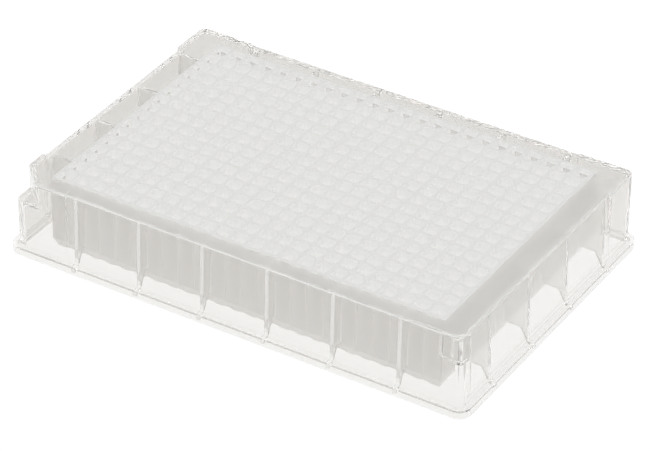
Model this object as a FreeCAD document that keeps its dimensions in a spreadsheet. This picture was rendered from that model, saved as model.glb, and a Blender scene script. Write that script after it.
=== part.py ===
import FreeCAD, Part
import os
import Sketcher

# A 384-well storage plate, moulded in one piece: a foot flange, a thin outer wall with four
# corner posts and two notched corners, a deck, and a block of wells hanging from the deck,
# tied to the wall by ribs.
# Millimetres. +X runs along the long side, +Z is up, and the origin is at the middle of the
# plane that the foot stands on.

SIZES = {
    # the foot flange
    "footprint_length": 127.76,
    "footprint_width": 85.48,
    "foot_height": 2.4,
    "foot_radius": 3.18,
    "foot_overhang": 1.55,
    "foot_thickness": 1.0,
    # the outer wall and the deck
    "plate_height": 21.5,
    "wall_thickness": 1.3,
    "wall_radius": 2.0,
    "long_wall_lean": 0.35,
    "short_wall_lean": 0.8,
    "deck_thickness": 1.2,
    "rim_radius": 0.35,
    # the corner posts, which stand upright and a little above the deck
    "post_rise": 0.15,
    "post_length_long": 14.9,
    "post_length_short": 11.7,
    "post_width": 1.9,
    "shared_rim": 0.4,
    "post_web": 2.3,
    # the notched corners on the near long side
    "notch_leg": 6.2,
    "notch_radius": 1.5,
    "ledge_height": 14.7,
    "recess_length": 6.9,
    "recess_depth": 0.8,
    "recess_slant": 0.3,
    "recess_radius": 1.2,
    "shelf_drop": 0.5,
    "shelf_leg": 3.6,
    # the ribs between the wall and the block of wells
    "rib_thickness": 1.0,
    "rib_pitch_long": 18.0,
    "rib_count_long": 6,
    "rib_pitch_short": 18.4,
    "rib_count_short": 4,
    "rib_underside": 5.3,
    "rib_toe_run": 2.1,
    "rib_toe_height": 1.5,
    "rib_ground_gap": 0.3,
    # the wells
    "well_pitch": 4.5,
    "well_columns": 24,
    "well_rows": 16,
    "well_wall": 0.8,
    "well_taper": 0.5,
    "well_point": 1.2,
    "well_corner": 0.6,
    "well_floor": 0.8,
    "well_point_rise": 3.2,
    # the outside of the block of wells
    "block_border": 0.4,
    "block_ground_gap": 1.8,
    "block_taper": 1.0,
    "block_taper_rise": 2.5,
    "block_groove": 2.4,
    "block_groove_rise": 1.9,
    "scallop_depth": 0.25,
}

SHEET = "Sizes"
PART = "well_plate"
EMBED = 0.2         # how far a rib runs into what it joins, to fuse cleanly
CLEARING = 5.0      # how far a cut runs past the faces that it opens
TOUCH = 1e-4        # two coordinates this near are the same

doc = FreeCAD.newDocument(PART)


def make_sheet():
    """Write the driving sizes into the document's spreadsheet."""
    sheet = doc.addObject("Spreadsheet::Sheet", SHEET)
    for row, (alias, value) in enumerate(SIZES.items(), start=1):
        sheet.set(f"A{row}", alias)
        sheet.set(f"B{row}", str(value))
        sheet.setAlias(f"B{row}", alias)
    doc.recompute()
    return sheet


sheet = make_sheet()


def size(alias):
    """A size, as the sheet holds it."""
    return float(sheet.get(alias))


def cell(alias):
    """A size, as an expression names it."""
    return f"{SHEET}.{alias}"


def value_of(expression):
    """The number that an expression stands for."""
    result = sheet.evalExpression(expression)
    return float(getattr(result, "Value", result))


# Lengths that several features share, written as expressions on the sheet.
FOOT_X = f"{cell('footprint_length')} / 2"
FOOT_Y = f"{cell('footprint_width')} / 2"
WALL_X = f"({FOOT_X} - {cell('foot_overhang')})"
WALL_Y = f"({FOOT_Y} - {cell('foot_overhang')})"
WALL = cell("wall_thickness")
INSIDE_X = f"({WALL_X} - {WALL})"
INSIDE_Y = f"({WALL_Y} - {WALL})"
FOOT_WALL = cell("foot_thickness")
FOOT_INSIDE_X = f"({FOOT_X} - {FOOT_WALL})"
FOOT_INSIDE_Y = f"({FOOT_Y} - {FOOT_WALL})"
FOOT_CEILING = f"({cell('foot_height')} - {FOOT_WALL})"
TOP = cell("plate_height")
DECK = f"({TOP} - {cell('post_rise')})"
CEILING = f"({DECK} - {cell('deck_thickness')})"
SHELF = f"({DECK} - {cell('shelf_drop')})"
SHELF_X = f"({WALL_X} - {cell('shelf_leg')})"
SHELF_Y = f"({WALL_Y} - {cell('shelf_leg')})"
POST_X = f"({WALL_X} - {cell('post_length_long')})"
POST_Y = f"({WALL_Y} - {cell('post_length_short')})"
POST_INSIDE_X = f"({WALL_X} - {cell('post_width')})"
POST_INSIDE_Y = f"({WALL_Y} - {cell('post_width')})"
NOTCH = cell("notch_leg")
NOTCH_X = f"({WALL_X} - {NOTCH})"
NOTCH_Y = f"({WALL_Y} - {NOTCH})"
INSIDE_NOTCH = f"({NOTCH} - (2 - sqrt(2)) * {WALL})"
INSIDE_SHELF = f"({cell('shelf_leg')} - (2 - sqrt(2)) * {WALL})"
RECESS = cell("recess_depth")
SLANT = cell("recess_slant")
RECESS_X = f"({WALL_X} - {cell('recess_length')})"
WEB = f"({NOTCH} + sqrt(2) * {cell('post_web')})"
BLOCK_X = f"({cell('well_columns')} * {cell('well_pitch')} / 2 + {cell('block_border')})"
BLOCK_Y = f"({cell('well_rows')} * {cell('well_pitch')} / 2 + {cell('block_border')})"
BLOCK_GROUND = cell("block_ground_gap")
OUTSIDE_X = f"({FOOT_X} + {CLEARING})"
OUTSIDE_Y = f"({FOOT_Y} + {CLEARING})"


def origin_feature(body, role):
    """One of a body's own origin planes or axes."""
    return next(item for item in body.Origin.OriginFeatures if item.Role == role)


def outline(body, name, outlines, plane="XY_Plane", offset="0"):
    """A sketch of closed outlines, each corner held by two coordinates bound to the sheet."""
    sketch = body.newObject("Sketcher::SketchObject", name)
    sketch.AttachmentSupport = [(origin_feature(body, plane), "")]
    sketch.MapMode = "FlatFace"
    sketch.setExpression(".AttachmentOffset.Base.z", offset)
    for corners in outlines:
        points = [FreeCAD.Vector(value_of(u), value_of(v), 0) for u, v in corners]
        first = sketch.GeometryCount
        count = len(points)
        for step in range(count):
            line = Part.LineSegment(points[step], points[(step + 1) % count])
            sketch.addGeometry(line, False)
        for step in range(count):
            here, following = first + step, first + (step + 1) % count
            sketch.addConstraint(Sketcher.Constraint("Coincident", here, 2, following, 1))
        for step, (u, v) in enumerate(corners):
            for kind, expression, start in (("DistanceX", u, points[step].x),
                                            ("DistanceY", v, points[step].y)):
                held = Sketcher.Constraint(kind, -1, 1, first + step, 1, start)
                index = sketch.addConstraint(held)
                sketch.setExpression(f"Constraints[{index}]", expression)
    return sketch


def rectangle(half_u, half_v):
    """The corners of a rectangle about the origin."""
    return [(f"-{half_u}", f"-{half_v}"), (half_u, f"-{half_v}"), (half_u, half_v),
            (f"-{half_u}", half_v)]


def prism(body, kind, name, sketch, length, symmetric=False, reverse=False):
    """A pad or a pocket, as long as an expression says, and checked to change the body."""
    doc.recompute()
    before = body.Shape.Volume if body.Tip else 0
    feature = body.newObject(f"PartDesign::{kind}", name)
    feature.Profile = sketch
    feature.SideType = "Symmetric" if symmetric else "One side"
    feature.Reversed = reverse
    feature.setExpression("Length", length)
    feature.AllowMultiFace = True
    doc.recompute()
    change = body.Shape.Volume - before
    if (change > 0) != (kind == "Pad") or abs(change) < TOUCH:
        raise RuntimeError(f"{name} changes the volume by {change:.4f}")
    return feature


def pad(body, name, sketch, length, **options):
    return prism(body, "Pad", name, sketch, length, **options)


def pocket(body, name, sketch, length, **options):
    return prism(body, "Pocket", name, sketch, length, **options)


def round_edges(body, name, radius, wanted):
    """A fillet on every edge of the body that a test picks."""
    base = body.Tip
    names = [f"Edge{number}" for number, edge in enumerate(base.Shape.Edges, start=1)
             if wanted(edge)]
    if not names:
        raise RuntimeError(f"{name} finds no edge")
    fillet = body.newObject("PartDesign::Fillet", name)
    fillet.Base = (base, names)
    fillet.setExpression("Radius", radius)
    doc.recompute()
    return fillet


def upright_at(corners, low):
    """A test for the upright edges that stand on some corners, above a height."""
    places = [(value_of(x), value_of(y)) for x, y in corners]
    low = value_of(low)

    def test(edge):
        box = edge.BoundBox
        upright = box.XLength < TOUCH and box.YLength < TOUCH
        found = any(abs(box.XMin - x) < TOUCH and abs(box.YMin - y) < TOUCH for x, y in places)
        return upright and found and box.ZMin > low - TOUCH

    return test


def middle_of(edge):
    return edge.valueAt((edge.FirstParameter + edge.LastParameter) / 2)


def level_rim(low, high, outside):
    """A test for the level edges between two heights that lie outside a rectangle."""
    low, high = value_of(low), value_of(high)
    outside_x, outside_y = (value_of(half) for half in outside)

    def test(edge):
        box = edge.BoundBox
        middle = middle_of(edge)
        beyond = abs(middle.x) > outside_x or abs(middle.y) > outside_y
        return box.ZLength < TOUCH and low - TOUCH < box.ZMin < high + TOUCH and beyond

    return test


def add_foot_and_wall(body):
    """The foot flange and the upright wall, solid for now, with their rounded corners."""
    foot = outline(body, "foot_outline", [rectangle(FOOT_X, FOOT_Y)])
    pad(body, "foot", foot, cell("foot_height"))
    round_edges(body, "foot_corners", cell("foot_radius"),
                upright_at(rectangle(FOOT_X, FOOT_Y), "0"))
    wall = outline(body, "wall_outline", [rectangle(WALL_X, WALL_Y)])
    pad(body, "wall", wall, TOP)
    round_edges(body, "wall_corners", cell("wall_radius"),
                upright_at(rectangle(WALL_X, WALL_Y), cell("foot_height")))


def deck_outline():
    """The deck's outline: open at mid-wall, and stepping in behind each corner post."""
    far = [(OUTSIDE_X, POST_Y), (POST_INSIDE_X, POST_Y), (POST_INSIDE_X, POST_INSIDE_Y),
           (POST_X, POST_INSIDE_Y), (POST_X, OUTSIDE_Y)]
    web = f"({WEB} - {cell('post_width')})"
    near = [(POST_X, f"-{OUTSIDE_Y}"), (POST_X, f"-{POST_INSIDE_Y}"),
            (f"({POST_INSIDE_X} - {web})", f"-{POST_INSIDE_Y}"),
            (POST_INSIDE_X, f"-({POST_INSIDE_Y} - {web})"), (POST_INSIDE_X, f"-{POST_Y}"),
            (OUTSIDE_X, f"-{POST_Y}")]
    right = near + far
    left = [(f"-{u}", v) for u, v in reversed(right)]
    return right + left


def cut_deck(body):
    """The deck is lowered everywhere but at the corner posts, and the near right post keeps a
    lowered rim, so that the near and the right wall have one edge up to their corner."""
    lowered = outline(body, "deck_outline", [deck_outline()], offset=TOP)
    pocket(body, "deck", lowered, cell("post_rise"))
    rim_x = f"({WALL_X} - {cell('short_wall_lean')} - {cell('shared_rim')})"
    rim_y = f"-({WALL_Y} - {cell('long_wall_lean')} - {cell('shared_rim')})"
    around = [(POST_X, f"-{OUTSIDE_Y}"), (OUTSIDE_X, f"-{OUTSIDE_Y}"), (OUTSIDE_X, f"-{POST_Y}"),
              (rim_x, f"-{POST_Y}"), (rim_x, rim_y), (POST_X, rim_y)]
    rim = outline(body, "shared_rim_outline", [around], offset=TOP)
    pocket(body, "shared_rim", rim, cell("post_rise"))


def lean_outline(half, lean, drop_to):
    """What a leaning wall loses: a thin upright wedge, wide at the top."""
    base = cell("foot_height")
    top = f"({TOP} + {CLEARING})"
    inner = f"({half} - {lean})"
    return [(half, base), (drop_to, base), (drop_to, top), (inner, top), (inner, TOP)]


def inner_lean_outline(half, lean):
    """What a leaning wall gains inside: a thin wedge that keeps it as thick up to the deck."""
    base = cell("foot_height")
    top = f"({CEILING} + {EMBED})"
    inside = f"({half} - {WALL})"
    back = f"({inside} + {EMBED})"
    front = f"({inside} - {lean} * ({top} - {base}) / ({TOP} - {base}))"
    return [(back, base), (inside, base), (front, top), (back, top)]


def lean_walls(body):
    """Each wall leans in from the foot to the deck, up to the corner posts, and the near and the
    right wall lean past the post that they share."""
    walls = {
        "near": ("YZ_Plane", "-", WALL_Y, "long_wall_lean", OUTSIDE_Y, POST_X, OUTSIDE_X),
        "far": ("YZ_Plane", "", WALL_Y, "long_wall_lean", OUTSIDE_Y, POST_X, POST_X),
        "left": ("XZ_Plane", "-", WALL_X, "short_wall_lean", OUTSIDE_X, POST_Y, POST_Y),
        "right": ("XZ_Plane", "", WALL_X, "short_wall_lean", OUTSIDE_X, POST_Y, OUTSIDE_Y),
    }
    for name, (plane, sign, half, lean, drop_to, start, end) in walls.items():
        corners = lean_outline(half, cell(lean), drop_to)
        signed = [(f"{sign}{across}", height) for across, height in corners]
        wedge = outline(body, f"{name}_lean_outline", [signed], plane=plane,
                        offset=f"({end} - {start}) / 2")
        pocket(body, f"{name}_lean", wedge, f"{start} + {end}", symmetric=True)


def lean_insides(body):
    """Inside, each wall leans as it does outside, up to the set-back corner."""
    near_end, right_end = f"({RECESS_X} + {WALL} / 2)", f"({NOTCH_Y} + {WALL})"
    walls = {
        "near": ("YZ_Plane", "-", WALL_Y, "long_wall_lean", POST_X, near_end),
        "far": ("YZ_Plane", "", WALL_Y, "long_wall_lean", POST_X, POST_X),
        "left": ("XZ_Plane", "-", WALL_X, "short_wall_lean", POST_Y, POST_Y),
        "right": ("XZ_Plane", "", WALL_X, "short_wall_lean", POST_Y, right_end),
    }
    for name, (plane, sign, half, lean, start, end) in walls.items():
        corners = inner_lean_outline(half, cell(lean))
        signed = [(f"{sign}{across}", height) for across, height in corners]
        wedge = outline(body, f"{name}_inner_lean_outline", [signed], plane=plane,
                        offset=f"({end} - {start}) / 2")
        pad(body, f"{name}_inner_lean", wedge, f"{start} + {end}", symmetric=True)


def cut_notches(body):
    """The near corners: one cut across down to a ledge, one set back a little above it."""
    across = [(f"-{NOTCH_X}", f"-{WALL_Y}"), (f"-{WALL_X}", f"-{NOTCH_Y}"),
              (f"-{OUTSIDE_X}", f"-{NOTCH_Y}"), (f"-{OUTSIDE_X}", f"-{OUTSIDE_Y}"),
              (f"-{NOTCH_X}", f"-{OUTSIDE_Y}")]
    left = outline(body, "cut_corner_outline", [across], offset=cell("ledge_height"))
    pocket(body, "cut_corner", left, TOP, reverse=True)
    ends = [(f"-{NOTCH_X}", f"-{WALL_Y}"), (f"-{WALL_X}", f"-{NOTCH_Y}")]
    round_edges(body, "cut_corner_edges", cell("notch_radius"),
                upright_at(ends, cell("ledge_height")))

    face_x, face_y = f"({WALL_X} - {RECESS} - {SLANT})", f"-({WALL_Y} - {RECESS})"
    around = [(RECESS_X, f"-{OUTSIDE_Y}"), (OUTSIDE_X, f"-{OUTSIDE_Y}"),
              (OUTSIDE_X, f"-{NOTCH_Y}"), (WALL_X, f"-{NOTCH_Y}"), (face_x, face_y),
              (f"({RECESS_X} + {RECESS})", face_y), (RECESS_X, f"-{WALL_Y}")]
    right = outline(body, "set_back_outline", [around], offset=cell("ledge_height"))
    pocket(body, "set_back", right, TOP, reverse=True)
    round_edges(body, "set_back_corner", cell("recess_radius"),
                upright_at([(face_x, face_y)], cell("ledge_height")))

    corner = [(OUTSIDE_X, f"-{SHELF_Y}"), (WALL_X, f"-{SHELF_Y}"), (SHELF_X, f"-{WALL_Y}"),
              (SHELF_X, f"-{OUTSIDE_Y}"), (OUTSIDE_X, f"-{OUTSIDE_Y}")]
    shelf = outline(body, "shelf_outline", [corner], offset=SHELF)
    pocket(body, "shelf", shelf, TOP, reverse=True)


def round_rim(body):
    """The outer edges of the rim are lightly rounded."""
    inner = (f"({WALL_X} - {cell('short_wall_lean')} - {TOUCH})",
             f"({WALL_Y} - {cell('long_wall_lean')} - {TOUCH})")
    round_edges(body, "rim_edges", cell("rim_radius"), level_rim(DECK, TOP, inner))


def inside_outline(left_corner, right_corner):
    """The hollow's outline, with what stands in its two near corners."""
    return [*left_corner, *right_corner, (INSIDE_X, INSIDE_Y), (f"-{INSIDE_X}", INSIDE_Y)]


def hollow_out(body):
    """The space under the deck, in steps that leave a wall behind the notches and in the foot."""
    square_left = [(f"-{INSIDE_X}", f"-{INSIDE_Y}")]
    square_right = [(INSIDE_X, f"-{INSIDE_Y}")]
    across_left = [(f"-{INSIDE_X}", f"-({INSIDE_Y} - {INSIDE_NOTCH})"),
                   (f"-({INSIDE_X} - {INSIDE_NOTCH})", f"-{INSIDE_Y}")]
    across_right = [(f"({INSIDE_X} - {INSIDE_SHELF})", f"-{INSIDE_Y}"),
                    (INSIDE_X, f"-({INSIDE_Y} - {INSIDE_SHELF})")]
    set_back = [(f"({RECESS_X} - {WALL} / 2)", f"-{INSIDE_Y}"),
                (f"({RECESS_X} - {WALL} / 2 + {RECESS})", f"-({INSIDE_Y} - {RECESS})"),
                (f"({INSIDE_X} - {RECESS} - {SLANT})", f"-({INSIDE_Y} - {RECESS})"),
                (INSIDE_X, f"-{NOTCH_Y}")]
    steps = {
        "foot_hollow": (rectangle(FOOT_INSIDE_X, FOOT_INSIDE_Y), FOOT_CEILING),
        "low_hollow": (inside_outline(square_left, square_right),
                       f"({cell('ledge_height')} - {WALL})"),
        "middle_hollow": (inside_outline(across_left, set_back), f"({SHELF} - {WALL})"),
        "high_hollow": (inside_outline(across_left, across_right), CEILING),
    }
    for name, (corners, ceiling) in steps.items():
        sketch = outline(body, f"{name}_outline", [corners])
        pocket(body, name, sketch, ceiling, reverse=True)
    round_edges(body, "foot_hollow_corners", f"{cell('foot_radius')} - {FOOT_WALL}",
                upright_at(rectangle(FOOT_INSIDE_X, FOOT_INSIDE_Y), "0"))
    round_edges(body, "hollow_corners", f"{cell('wall_radius')} - {WALL} / 2",
                upright_at(rectangle(INSIDE_X, INSIDE_Y), FOOT_CEILING))


def rib_outline(foot_inside, inside, block):
    """A rib's side view, for both sides of the plate: a toe in the foot, a slant, a level edge."""
    root = f"({foot_inside} + {EMBED})"
    wall = f"({inside} + {EMBED})"
    foot_top = f"({FOOT_CEILING} + {EMBED})"
    slant = f"({inside} - {cell('rib_toe_run')})"
    back = f"({block} - {cell('scallop_depth')} - {EMBED})"
    top = f"({CEILING} + {EMBED})"
    side = [(back, cell("rib_underside")), (slant, cell("rib_underside")),
            (inside, cell("rib_toe_height")), (root, cell("rib_ground_gap")),
            (root, foot_top), (wall, foot_top), (wall, top), (back, top)]
    other = [(f"-{u}", v) for u, v in reversed(side)]
    return [side, other]


def add_ribs(body, name, plane, outlines, axis, pitch, count):
    """A row of ribs, all alike, centred on the plate."""
    offset = f"-({cell(count)} - 1) / 2 * {cell(pitch)}"
    if plane == "XZ_Plane":
        offset = offset[1:]     # this plane faces -Y
    sketch = outline(body, f"{name}_outline", outlines, plane=plane, offset=offset)
    rib = pad(body, name, sketch, cell("rib_thickness"), symmetric=True)
    row = body.newObject("PartDesign::LinearPattern", f"{name}_row")
    row.Originals = [rib]
    row.Direction = (origin_feature(body, axis), [""])
    row.Mode = "Spacing"
    row.setExpression("Offset", cell(pitch))
    row.setExpression("Occurrences", cell(count))
    body.Tip = row
    doc.recompute()


def make_shell():
    """The foot, wall, deck and ribs, as one body."""
    body = doc.addObject("PartDesign::Body", "shell")
    add_foot_and_wall(body)
    cut_deck(body)
    lean_walls(body)
    cut_notches(body)
    round_rim(body)
    hollow_out(body)
    lean_insides(body)
    add_ribs(body, "long_rib", "YZ_Plane", rib_outline(FOOT_INSIDE_Y, INSIDE_Y, BLOCK_Y),
             "X_Axis", "rib_pitch_long", "rib_count_long")
    add_ribs(body, "short_rib", "XZ_Plane", rib_outline(FOOT_INSIDE_X, INSIDE_X, BLOCK_X),
             "Y_Axis", "rib_pitch_short", "rib_count_short")
    return body


def upright_prism(corners, low, high):
    """A solid between two heights on a closed outline."""
    points = [FreeCAD.Vector(x, y, low) for x, y in corners]
    face = Part.Face(Part.makePolygon(points + points[:1]))
    return face.extrude(FreeCAD.Vector(0, 0, high - low))


def lying_prism(profile, length, along_x):
    """A solid on a closed outline of across and height, run along X or Y about the middle."""
    if along_x:
        points = [FreeCAD.Vector(-length / 2, across, height) for across, height in profile]
        way = FreeCAD.Vector(length, 0, 0)
    else:
        points = [FreeCAD.Vector(across, -length / 2, height) for across, height in profile]
        way = FreeCAD.Vector(0, length, 0)
    return Part.Face(Part.makePolygon(points + points[:1])).extrude(way)


def block_reliefs():
    """What shapes the block's outside: grooves that point each well, a taper round its foot,
    and scallops up its sides."""
    pitch = size("well_pitch")
    ground = size("block_ground_gap")
    below = ground - CLEARING
    half_groove = size("block_groove") / 2
    border = size("block_border")
    meet = ground + size("block_groove_rise")
    taper_top = ground + size("block_taper_rise")
    scallop = size("scallop_depth")
    ceiling = value_of(CEILING)
    reliefs = []
    for count, other, along_x in ((size("well_columns"), size("well_rows"), False),
                                  (size("well_rows"), size("well_columns"), True)):
        half_block = count * pitch / 2 + border
        face = other * pitch / 2 + border
        across = 2 * (face + CLEARING)
        between = 2 * (face - border) - size("well_wall")
        for step in range(1, int(count)):
            middle = (step - count / 2) * pitch
            reliefs.append(lying_prism([(middle - half_groove, ground), (middle, meet),
                                        (middle + half_groove, ground),
                                        (middle + half_groove, below),
                                        (middle - half_groove, below)], between, along_x))
            for side in (-1, 1):
                notch = [(middle - scallop, side * (face + TOUCH)),
                         (middle, side * (face - scallop)),
                         (middle + scallop, side * (face + TOUCH))]
                corners = [(v, u) for u, v in notch] if along_x else notch
                reliefs.append(upright_prism(corners, below, ceiling))
        for side in (-1, 1):
            outer = side * (half_block + CLEARING)
            lip = side * half_block
            toe = side * (half_block - size("block_taper"))
            reliefs.append(lying_prism([(toe, ground), (lip, taper_top), (outer, taper_top),
                                        (outer, below), (toe, below)], across, along_x))
    return reliefs


def octagon(width, corner, height):
    """A square outline with its corners cut off, about the Z axis."""
    half = width / 2
    near = half - corner
    corners = [(-near, -half), (near, -half), (half, -near), (half, near), (near, half),
               (-near, half), (-half, near), (-half, -near)]
    points = [FreeCAD.Vector(x, y, height) for x, y in corners]
    return Part.makePolygon(points + points[:1])


def well_cores():
    """The space inside every well: a tapered square shaft with a pointed floor."""
    top = size("plate_height")
    tip = size("block_ground_gap") + size("well_floor")
    neck = tip + size("well_point_rise")
    above = top + CLEARING
    mouth_width = size("well_pitch") - size("well_wall")
    neck_width = mouth_width - size("well_taper")
    above_width = mouth_width + size("well_taper") * CLEARING / (top - neck)
    corner = size("well_corner")
    tip_corner = corner * size("well_point") / neck_width
    shaft = Part.makeLoft([octagon(above_width, corner, above),
                           octagon(neck_width, corner, neck)], True, True)
    floor = Part.makeLoft([octagon(neck_width, corner, neck),
                           octagon(size("well_point"), tip_corner, tip)], True, True)
    core = shaft.fuse(floor).removeSplitter()
    pitch, columns, rows = size("well_pitch"), int(size("well_columns")), int(size("well_rows"))
    places = [FreeCAD.Vector((column - (columns - 1) / 2) * pitch,
                             (row - (rows - 1) / 2) * pitch, 0)
              for column in range(columns) for row in range(rows)]
    return [core.translated(place) for place in places]


def make_block():
    """The block of wells from outside, before the wells are opened."""
    blank = doc.addObject("Part::Box", "block_blank")
    blank.setExpression("Length", f"2 * {BLOCK_X}")
    blank.setExpression("Width", f"2 * {BLOCK_Y}")
    blank.setExpression("Height", f"{TOP} - {BLOCK_GROUND}")
    blank.setExpression(".Placement.Base.x", f"-{BLOCK_X}")
    blank.setExpression(".Placement.Base.y", f"-{BLOCK_Y}")
    blank.setExpression(".Placement.Base.z", BLOCK_GROUND)
    doc.recompute()
    block = doc.addObject("Part::Feature", "block")
    block.Shape = blank.Shape.cut(block_reliefs())
    return block


def make_plate():
    """The whole moulding: the shell and the block fused, and the wells opened."""
    shell = make_shell()
    block = make_block()
    joined = doc.addObject("Part::Fuse", "closed_plate")
    joined.Base = shell
    joined.Tool = block
    doc.recompute()
    cores = doc.addObject("Part::Feature", "well_cores")
    cores.Shape = Part.makeCompound(well_cores())
    plate = doc.addObject("Part::Cut", PART)
    plate.Base = joined
    plate.Tool = cores
    plate.Label = PART
    plate.Placement = FreeCAD.Placement()
    return plate


def check(plate):
    """Stop if a feature failed, or if the plate isn't one valid solid."""
    doc.recompute()
    failed = [item.Name for item in doc.Objects
              if any(word in item.State for word in ("Invalid", "Error"))]
    if failed:
        raise RuntimeError(f"failed features: {failed}")
    shape = plate.Shape
    if shape.isNull() or not shape.isValid() or len(shape.Solids) != 1:
        raise RuntimeError(f"{plate.Label} isn't one valid solid")


plate = make_plate()
check(plate)
os.makedirs("parts", exist_ok=True)
plate.Shape.exportStep(f"parts/{plate.Label}.step")
print(f"{plate.Label}: {plate.Shape.Volume / 1000:.1f} cm3, {len(plate.Shape.Faces)} faces")
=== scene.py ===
import math

import bpy
from mathutils import Matrix, Vector


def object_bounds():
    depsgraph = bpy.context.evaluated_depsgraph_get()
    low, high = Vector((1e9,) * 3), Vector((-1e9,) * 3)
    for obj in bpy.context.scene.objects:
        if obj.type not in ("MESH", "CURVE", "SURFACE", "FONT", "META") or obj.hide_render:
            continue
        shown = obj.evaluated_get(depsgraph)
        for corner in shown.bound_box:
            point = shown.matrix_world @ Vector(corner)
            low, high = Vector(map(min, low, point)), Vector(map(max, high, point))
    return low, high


# A clear moulded 384-well plate on a white studio sweep. Metres, in the CAD's frame: +X along
# the long side, +Z up, the foot standing on z = 0.

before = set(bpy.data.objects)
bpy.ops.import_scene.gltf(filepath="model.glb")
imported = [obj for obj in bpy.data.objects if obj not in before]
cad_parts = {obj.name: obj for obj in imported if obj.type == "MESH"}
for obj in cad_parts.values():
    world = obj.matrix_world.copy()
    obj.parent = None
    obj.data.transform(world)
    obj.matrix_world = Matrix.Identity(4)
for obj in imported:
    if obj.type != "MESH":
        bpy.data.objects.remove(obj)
cad_low, cad_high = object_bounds()

PLATE = "well_plate"

# The parts of the plate that look different, each a rectangle about the middle or a height.
BLOCK_HALF = Vector((0.0544, 0.0364))   # half the block that the wells fill
OUTER_WALL = 0.0011                     # the thickness of the block's outer wall
RIB_HALF = Vector((0.0600, 0.0393))     # half of what the ribs reach to
DECK_HALF = Vector(cad_high[:2])        # half of the whole plate, which is about the middle
DECK_FLOOR = 0.0199                     # the deck is above this height
RIM_FLOOR = 0.0209                      # and its rounded rim above this one
LEVEL = 0.95                # the upright share of a normal, where a face counts as level
BLEND = 0.0002              # how far the change across a rectangle's edge takes

# How milky each part is, where the block of wells is 1 and the skirt is 0.
OUTER_MILK = 0.6
RIB_MILK = 0.3
# The rounded rim is made milky so that it shows as a bright line along the top edges: a painted
# highlight.
RIM_HIGHLIGHT_MILK = 0.8

# The share of light that passes through, and the roughness.
SKIRT_CLEAR = 0.96
BLOCK_CLEAR = 0.12
BLOCK_ROUGH = 0.34
POLISHED = 0.04             # the level deck, towards its far left corner
SATIN = 0.32                # and towards its near right corner
DECK_TURN = 0.3             # its finish changes this far either side of the diagonal
LEAST_ROUGH = 0.02          # an unevenness on every face
MOST_ROUGH = 0.07
PLASTIC_IOR = 1.49

# Tints. Each pair is blended by a noise.
CLEAR_TINTS = (0.84, 0.83, 0.81), (0.86, 0.85, 0.83)
MILKY_TINTS = (0.895, 0.89, 0.87), (0.91, 0.905, 0.885)
# The block's outer wall is darker than the milky tints: painted shade on the block's sides, which
# get less light than its top.
OUTER_SHADE_TINT = (0.78, 0.765, 0.745)       # the block's outer wall
# The tops of the walls between wells are darker than the milky tints: painted shade that cancels
# the extra light they get from above.
EDGE_SHADE_TINT = (0.875, 0.87, 0.855)        # the top edges of the walls between wells

# Noises: how many of their features there are in a metre.
CLOUD_SCALE = 60.0
GRAIN_SCALE = 1400.0
STREAK_SCALE = 260.0
STREAK_STRETCH = 0.05       # streaks are drawn out upright by this
TOOTH_SCALE = 900.0
FINE_DETAIL = 2.0           # octaves of the finer noises
CLOUD_RANGE = (0.35, 0.65)  # where most of the cloud noise lies

# How the surfaces stand up and sink: slow waves left by the mould, its fine surface, and the
# paper's.
RIPPLE = {"Strength": 0.02, "Distance": 0.0003}
GRAIN = {"Strength": 0.06, "Distance": 0.00003}
TOOTH = {"Strength": 0.05, "Distance": 0.0002}

# The camera: where it looks, from which side, and how long its lens is.
AIM = Vector((0.0028, -0.0044, 0.0100))
AZIMUTH = math.radians(31.37)
ELEVATION = math.radians(34.19)
ROLL = math.radians(0.73)
DISTANCE = 0.865
LENS_MM = 198.9
SENSOR_MM = 36.0
NEAREST, FARTHEST = 0.05, 20.0          # what the camera can see

# The floor.
FLOOR_HALF = 3.0
PAPER = (0.93, 0.93, 0.93, 1.0)
PAPER_GLOW = 0.26
WHITE = (1.0, 1.0, 1.0, 1.0)

# The light. Places and sizes are in metres, powers in watts.
HORIZON_LIGHT = 0.62
ZENITH_LIGHT = 0.84
ZENITH_RISE = 0.8           # the upright share of a direction, where the zenith's light begins
KEY_PLACE, KEY_SIZE, KEY_POWER = (-0.8, 0.3, 1.6), (0.7, 0.7), 1.5
BACK_PLACE, BACK_SIZE, BACK_POWER = (0.15, 1.4, 1.4), (0.7, 0.5), 1.0
MOST_BOUNCES = 48           # light runs a long way down inside the thin walls


def make_camera():
    """A long lens above the near right corner."""
    back = Vector((math.sin(AZIMUTH) * math.cos(ELEVATION),
                   -math.cos(AZIMUTH) * math.cos(ELEVATION), math.sin(ELEVATION)))
    data = bpy.data.cameras.new("camera")
    data.lens = LENS_MM
    data.sensor_width = SENSOR_MM
    data.clip_start = NEAREST
    data.clip_end = FARTHEST
    camera = bpy.data.objects.new("camera", data)
    bpy.context.scene.collection.objects.link(camera)
    turn = (-back).to_track_quat("-Z", "Y").to_matrix().to_4x4()
    roll = Matrix.Rotation(ROLL, 4, "Z")
    camera.matrix_world = Matrix.Translation(AIM + DISTANCE * back) @ turn @ roll
    bpy.context.scene.camera = camera


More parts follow.
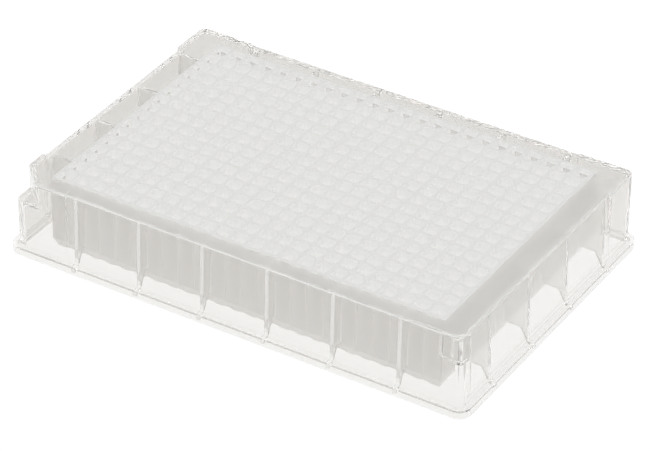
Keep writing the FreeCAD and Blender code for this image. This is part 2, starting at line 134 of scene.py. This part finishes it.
class Nodes:
    """A material's node tree, with short ways to add and join nodes."""

    def __init__(self, name):
        self.material = bpy.data.materials.new(name)
        self.material.use_nodes = True
        self.tree = self.material.node_tree
        self.tree.nodes.clear()

    def add(self, kind, inputs=None, **settings):
        node = self.tree.nodes.new(f"ShaderNode{kind}")
        for name, value in settings.items():
            setattr(node, name, value)
        for key, value in (inputs or {}).items():
            if isinstance(value, bpy.types.NodeSocket):
                self.tree.links.new(value, node.inputs[key])
            else:
                node.inputs[key].default_value = value
        return node

    def math(self, operation, first, second=0.0, clamp=False):
        node = self.add("Math", {0: first, 1: second}, operation=operation)
        node.use_clamp = clamp
        return node.outputs[0]

    def noise(self, vector, scale, detail=3.0):
        node = self.add("TexNoise", {"Vector": vector, "Scale": scale, "Detail": detail})
        return node.outputs["Fac"]

    def spread(self, value, low, high, to_low, to_high):
        """Carries one range of numbers to another, and holds at its ends."""
        node = self.add("MapRange", {"Value": value, "From Min": low, "From Max": high,
                                     "To Min": to_low, "To Max": to_high})
        return node.outputs["Result"]

    def mix(self, share, first, second):
        """A blend of two colours, each given as numbers or as a socket."""
        colours = [colour if isinstance(colour, bpy.types.NodeSocket) else (*colour, 1.0)
                   for colour in (first, second)]
        node = self.add("MixRGB", {"Fac": share, "Color1": colours[0], "Color2": colours[1]})
        return node.outputs["Color"]

    def finish(self, shader):
        output = self.add("OutputMaterial")
        self.tree.links.new(shader.outputs[0], output.inputs["Surface"])


def inside(nodes, parts, halves):
    """1 where a point is in a rectangle about the middle, seen from above."""
    share = None
    for axis, half in zip("XY", halves):
        across = nodes.math("ABSOLUTE", parts.outputs[axis])
        within = nodes.spread(across, half, half + BLEND, 1.0, 0.0)
        share = within if share is None else nodes.math("MULTIPLY", share, within)
    return share


def deck_roughness(nodes, parts):
    """Polished on one side of the deck's diagonal, and satin on the other."""
    along, across = [nodes.math("DIVIDE", parts.outputs[axis], half)
                     for axis, half in zip("XY", DECK_HALF)]
    return nodes.spread(nodes.math("SUBTRACT", along, across), -DECK_TURN, DECK_TURN,
                        POLISHED, SATIN)


def clear_plastic():
    """Natural polypropylene: clear in the polished skirt, and milky in the block of wells. The
    block's outer wall and the tops of its walls carry painted shade, and the rim is made milky to
    show a painted highlight.
    """
    nodes = Nodes("clear_plastic")
    place = nodes.add("TexCoord")
    position = place.outputs["Object"]
    parts = nodes.add("SeparateXYZ", {0: position})
    facing = nodes.add("SeparateXYZ", {0: place.outputs["Normal"]})

    # Where each part of the plate is.
    level = nodes.math("GREATER_THAN", nodes.math("ABSOLUTE", facing.outputs["Z"]), LEVEL)
    deck = nodes.math("GREATER_THAN", parts.outputs["Z"], DECK_FLOOR)
    high = nodes.math("GREATER_THAN", parts.outputs["Z"], RIM_FLOOR)
    whole = inside(nodes, parts, BLOCK_HALF)
    inner = inside(nodes, parts, [half - OUTER_WALL for half in BLOCK_HALF])
    outer = nodes.math("SUBTRACT", whole, nodes.math("MAXIMUM", inner, deck), clamp=True)
    ribs = nodes.math("SUBTRACT", inside(nodes, parts, RIB_HALF), deck, clamp=True)
    rim = nodes.math("SUBTRACT", high, nodes.math("MAXIMUM", level, whole), clamp=True)

    milk = nodes.math("SUBTRACT", whole, nodes.math("MULTIPLY", outer, 1.0 - OUTER_MILK))
    # The milky rim stands in for the bright line along the top edges: a painted highlight.
    milk = nodes.math("MAXIMUM", milk, nodes.math("MULTIPLY", rim, RIM_HIGHLIGHT_MILK))
    milk = nodes.math("MAXIMUM", milk, nodes.math("MULTIPLY", ribs, RIB_MILK))
    clearness = nodes.spread(milk, 0.0, 1.0, SKIRT_CLEAR, BLOCK_CLEAR)

    cloud = nodes.noise(position, CLOUD_SCALE)
    grain = nodes.noise(position, GRAIN_SCALE, FINE_DETAIL)
    upright = nodes.add("Mapping", {"Vector": position, "Scale": (1.0, 1.0, STREAK_STRETCH)})
    streak = nodes.noise(upright.outputs["Vector"], STREAK_SCALE, FINE_DETAIL)

    unevenness = nodes.spread(cloud, *CLOUD_RANGE, LEAST_ROUGH, MOST_ROUGH)
    satin = nodes.math("MAXIMUM", nodes.math("MULTIPLY", milk, BLOCK_ROUGH),
                       nodes.math("MULTIPLY", nodes.math("MULTIPLY", deck, level),
                                  deck_roughness(nodes, parts)))
    roughness = nodes.math("ADD", satin, unevenness)

    clear = nodes.mix(cloud, *CLEAR_TINTS)
    milky = nodes.mix(streak, *MILKY_TINTS)
    # The block's top takes the darker tint: painted shade that evens the wall tops with the
    # wells' insides.
    milky = nodes.mix(nodes.math("MULTIPLY", deck, whole), milky, EDGE_SHADE_TINT)
    # The block's outer wall takes the darker tint: painted shade on the block's sides.
    tint = nodes.mix(outer, nodes.mix(milk, clear, milky), OUTER_SHADE_TINT)

    ripple = nodes.add("Bump", {"Height": cloud, **RIPPLE})
    bump = nodes.add("Bump", {"Height": grain, **GRAIN, "Normal": ripple.outputs["Normal"]})
    plastic = nodes.add("BsdfPrincipled", {"Base Color": tint,
                                           "Roughness": roughness,
                                           "Transmission Weight": clearness,
                                           "Normal": bump.outputs["Normal"],
                                           "IOR": PLASTIC_IOR})
    nodes.finish(let_light_through(nodes, plastic))
    return nodes.material


def let_light_through(nodes, shader):
    """Light on its way to other surfaces passes straight through the thin walls."""
    path = nodes.add("LightPath")
    passing = nodes.math("MAXIMUM", path.outputs["Is Shadow Ray"], path.outputs["Is Diffuse Ray"])
    window = nodes.add("BsdfTransparent")
    return nodes.add("MixShader", {0: passing, 1: shader.outputs[0], 2: window.outputs[0]})


def white_paper():
    """Seamless studio paper with a fine tooth."""
    nodes = Nodes("white_paper")
    position = nodes.add("TexCoord").outputs["Object"]
    tooth = nodes.noise(position, TOOTH_SCALE)
    bump = nodes.add("Bump", {"Height": tooth, **TOOTH})
    shader = nodes.add("BsdfPrincipled", {"Base Color": PAPER,
                                          "Roughness": 0.9, "Specular IOR Level": 0.1,
                                          "Emission Color": WHITE,
                                          "Emission Strength": PAPER_GLOW,
                                          "Normal": bump.outputs["Normal"]})
    nodes.finish(shader)
    return nodes.material


def make_floor():
    """A wide pale floor."""
    mesh = bpy.data.meshes.new("floor")
    corners = [(x * FLOOR_HALF, y * FLOOR_HALF, 0)
               for x, y in ((-1, -1), (1, -1), (1, 1), (-1, 1))]
    mesh.from_pydata(corners, [], [(0, 1, 2, 3)])
    mesh.materials.append(white_paper())
    floor = bpy.data.objects.new("floor", mesh)
    bpy.context.scene.collection.objects.link(floor)


def make_light(name, place, size, power):
    """A rectangular soft box that faces the plate."""
    data = bpy.data.lights.new(name, "AREA")
    data.shape = "RECTANGLE"
    data.size, data.size_y = size
    data.energy = power
    light = bpy.data.objects.new(name, data)
    bpy.context.scene.collection.objects.link(light)
    light.location = place
    light.rotation_mode = "QUATERNION"
    light.rotation_quaternion = (-Vector(place)).to_track_quat("-Z", "Y")


def make_room():
    """A white room, lighter overhead than at the horizon."""
    world = bpy.data.worlds.new("studio")
    bpy.context.scene.world = world
    world.use_nodes = True
    tree = world.node_tree
    background = tree.nodes["Background"]
    background.inputs["Color"].default_value = WHITE
    heading = tree.nodes.new("ShaderNodeTexCoord")
    parts = tree.nodes.new("ShaderNodeSeparateXYZ")
    ramp = tree.nodes.new("ShaderNodeMapRange")
    ramp.inputs["From Min"].default_value = 0.0
    ramp.inputs["From Max"].default_value = ZENITH_RISE
    ramp.inputs["To Min"].default_value = HORIZON_LIGHT
    ramp.inputs["To Max"].default_value = ZENITH_LIGHT
    tree.links.new(heading.outputs["Generated"], parts.inputs[0])
    tree.links.new(parts.outputs["Z"], ramp.inputs["Value"])
    tree.links.new(ramp.outputs["Result"], background.inputs["Strength"])


def set_colours_and_bounces():
    """Colours shown as they are, and enough bounces for light to get out of the walls."""
    settings = bpy.context.scene.view_settings
    settings.view_transform = "Standard"
    settings.look = "None"
    light_paths = bpy.context.scene.cycles
    light_paths.max_bounces = MOST_BOUNCES
    light_paths.transmission_bounces = MOST_BOUNCES
    light_paths.glossy_bounces = MOST_BOUNCES
    light_paths.transparent_max_bounces = 2 * MOST_BOUNCES


make_camera()
make_floor()
make_room()
make_light("key", KEY_PLACE, KEY_SIZE, KEY_POWER)
make_light("back", BACK_PLACE, BACK_SIZE, BACK_POWER)
set_colours_and_bounces()
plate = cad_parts[PLATE]
for slot in plate.material_slots:
    slot.material = clear_plastic()
